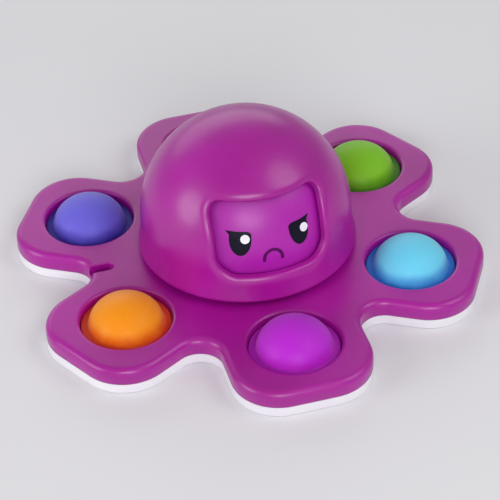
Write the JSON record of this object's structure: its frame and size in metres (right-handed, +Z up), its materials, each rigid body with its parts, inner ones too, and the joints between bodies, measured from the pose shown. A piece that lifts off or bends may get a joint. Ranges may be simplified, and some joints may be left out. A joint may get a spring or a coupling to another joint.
{
  "type": "octopus push-bubble spinner",
  "caption": "Octopus-shaped spinning fidget toy: domed head with a window onto a turning drum of faces, and legs that each hold a push-through silicone bubble.",
  "frame": {"origin": "centre of the underside, on the spin axis, on the surface the toy stands on", "axes": "+Z up along the spin axis, -Y towards the face and its leg, +X to the right seen from the front"},
  "size_m": [0.122, 0.13, 0.0472],
  "materials": {
    "purple_plastic": "glossy moulded ABS",
    "drum_plastic": "satin moulded ABS with printed faces",
    "white_plastic": "satin moulded ABS",
    "steel": "bright steel",
    "silicone_magenta": "soft matte silicone",
    "silicone_cyan": "soft matte silicone",
    "silicone_green": "soft matte silicone",
    "silicone_red": "soft matte silicone",
    "silicone_violet": "soft matte silicone",
    "silicone_orange": "soft matte silicone"
  },
  "bodies": {
    "legs": {"top_shell": "purple_plastic", "bottom_shell": "white_plastic", "bubble_skirt_magenta": "silicone_magenta", "bubble_skirt_cyan": "silicone_cyan", "bubble_skirt_green": "silicone_green", "bubble_skirt_red": "silicone_red", "bubble_skirt_violet": "silicone_violet", "bubble_skirt_orange": "silicone_orange", "bearing_outer_race": "steel", "shell_screw_1": "steel", "shell_screw_2": "steel", "shell_screw_3": "steel", "shell_screw_4": "steel", "shell_screw_5": "steel", "shell_screw_6": "steel"},
    "head": {"helmet": "purple_plastic", "neck_plate": "purple_plastic", "bearing_inner_race": "steel", "hub_clip": "steel", "detent_leaf": "steel"},
    "drum": {"face_drum": "drum_plastic", "drum_carrier": "purple_plastic", "finger_knob": "white_plastic", "knob_screw": "steel"},
    "ball_cage": {"bearing_cage": "steel", "bearing_ball_1": "steel", "bearing_ball_2": "steel", "bearing_ball_3": "steel", "bearing_ball_4": "steel", "bearing_ball_5": "steel", "bearing_ball_6": "steel", "bearing_ball_7": "steel", "bearing_ball_8": "steel", "bearing_ball_9": "steel"},
    "bubble_magenta": {"bubble_crown_magenta": "silicone_magenta"},
    "bubble_cyan": {"bubble_crown_cyan": "silicone_cyan"},
    "bubble_green": {"bubble_crown_green": "silicone_green"},
    "bubble_red": {"bubble_crown_red": "silicone_red"},
    "bubble_violet": {"bubble_crown_violet": "silicone_violet"},
    "bubble_orange": {"bubble_crown_orange": "silicone_orange"}
  },
  "joints": [
    {"name": "head_spin", "type": "hinge", "parent": "legs", "child": "head", "pos_m": [0, 0, 0.006], "axis": [0, 0, 1], "continuous": true},
    {"name": "drum_turn", "type": "hinge", "parent": "head", "child": "drum", "pos_m": [0, 0, 0.0123], "axis": [0, 0, 1], "continuous": true},
    {"name": "cage_spin", "type": "hinge", "parent": "legs", "child": "ball_cage", "pos_m": [0, 0, 0.006], "axis": [0, 0, 1], "continuous": true},
    {"name": "bubble_magenta_pop", "type": "slide", "parent": "legs", "child": "bubble_magenta", "axis": [0, 0, -1], "range_m": [0, 0.016], "deforming": ["bubble_skirt_magenta"]},
    {"name": "bubble_cyan_pop", "type": "slide", "parent": "legs", "child": "bubble_cyan", "axis": [0, 0, -1], "range_m": [0, 0.016], "deforming": ["bubble_skirt_cyan"]},
    {"name": "bubble_green_pop", "type": "slide", "parent": "legs", "child": "bubble_green", "axis": [0, 0, -1], "range_m": [0, 0.016], "deforming": ["bubble_skirt_green"]},
    {"name": "bubble_red_pop", "type": "slide", "parent": "legs", "child": "bubble_red", "axis": [0, 0, -1], "range_m": [0, 0.016], "deforming": ["bubble_skirt_red"]},
    {"name": "bubble_violet_pop", "type": "slide", "parent": "legs", "child": "bubble_violet", "axis": [0, 0, -1], "range_m": [0, 0.016], "deforming": ["bubble_skirt_violet"]},
    {"name": "bubble_orange_pop", "type": "slide", "parent": "legs", "child": "bubble_orange", "axis": [0, 0, -1], "range_m": [0, 0.016], "deforming": ["bubble_skirt_orange"]}
  ],
  "couplings": [
    {"joint": "cage_spin", "follows": "head_spin", "ratio": 0.4167}
  ]
}
